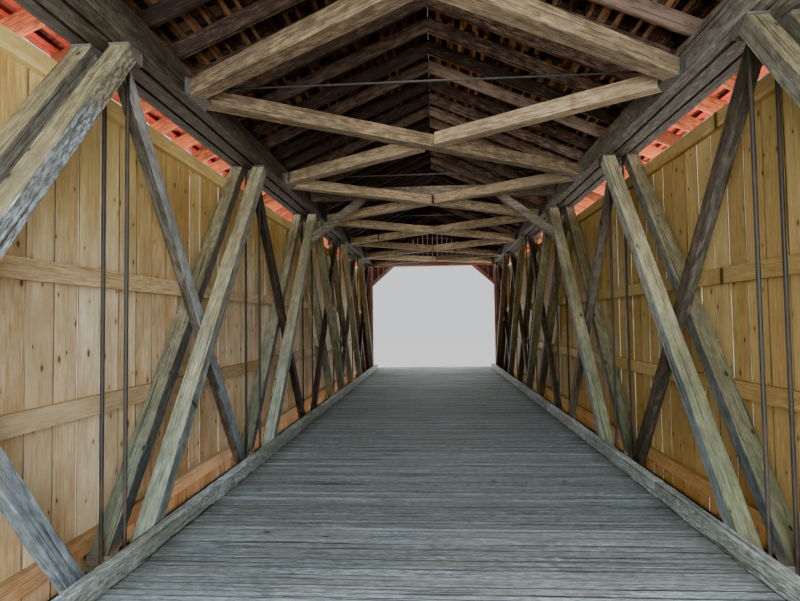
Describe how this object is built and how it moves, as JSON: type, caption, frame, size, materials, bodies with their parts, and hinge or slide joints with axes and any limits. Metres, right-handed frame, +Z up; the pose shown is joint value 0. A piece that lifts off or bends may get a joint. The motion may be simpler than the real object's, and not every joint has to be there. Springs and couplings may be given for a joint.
{
  "type": "covered bridge",
  "caption": "Single-span covered timber truss bridge with iron rods, crossed braces, plank deck, board siding and shingled gable roof on stone abutments.",
  "frame": {"origin": "on the ground, under the middle of the bridge", "axes": "+Y along the roadway from the near portal to the far portal, +X to the right of it, +Z up"},
  "size_m": [6.18, 20.01, 7.2769],
  "materials": {
    "stone": "rough, weathered",
    "dark_timber": "weathered, dark",
    "truss_timber": "weathered, grey green to olive",
    "grey_timber": "worn, grey",
    "red_timber": "old red paint, matt",
    "roof_timber": "dry, red brown",
    "pine": "new sawn pine",
    "shingle": "split shingles, weathered",
    "iron": "dark, dull"
  },
  "bodies": {
    "root": {"near_abutment": "stone", "far_abutment": "stone", "back_walls": "stone", "bed_timbers": "dark_timber", "floor_beams": "dark_timber", "stringers": "dark_timber", "deck": "grey_timber", "curbs": "grey_timber", "left_bottom_chord": "dark_timber", "right_bottom_chord": "dark_timber", "left_top_chord": "dark_timber", "right_top_chord": "dark_timber", "left_main_braces": "truss_timber", "right_main_braces": "truss_timber", "left_counter_braces": "dark_timber", "right_counter_braces": "dark_timber", "left_truss_rods": "iron", "right_truss_rods": "iron", "lower_angle_blocks": "dark_timber", "upper_angle_blocks": "dark_timber", "lower_rod_plates": "iron", "upper_rod_plates": "iron", "lateral_braces": "truss_timber", "lateral_blocks": "dark_timber", "lateral_tie_rods": "iron", "midspan_tie_beam": "roof_timber", "knee_braces": "truss_timber", "left_rafters": "roof_timber", "right_rafters": "roof_timber", "left_roof_lath": "roof_timber", "right_roof_lath": "roof_timber", "left_shingles": "shingle", "right_shingles": "shingle", "ridge_cap": "roof_timber", "barge_boards": "red_timber", "left_girts": "pine", "right_girts": "pine", "left_siding": "pine", "right_siding": "pine", "near_portal_boards": "red_timber", "far_portal_boards": "red_timber", "portal_posts": "red_timber", "portal_headers": "red_timber", "portal_corner_braces": "red_timber"}
  },
  "joints": []
}
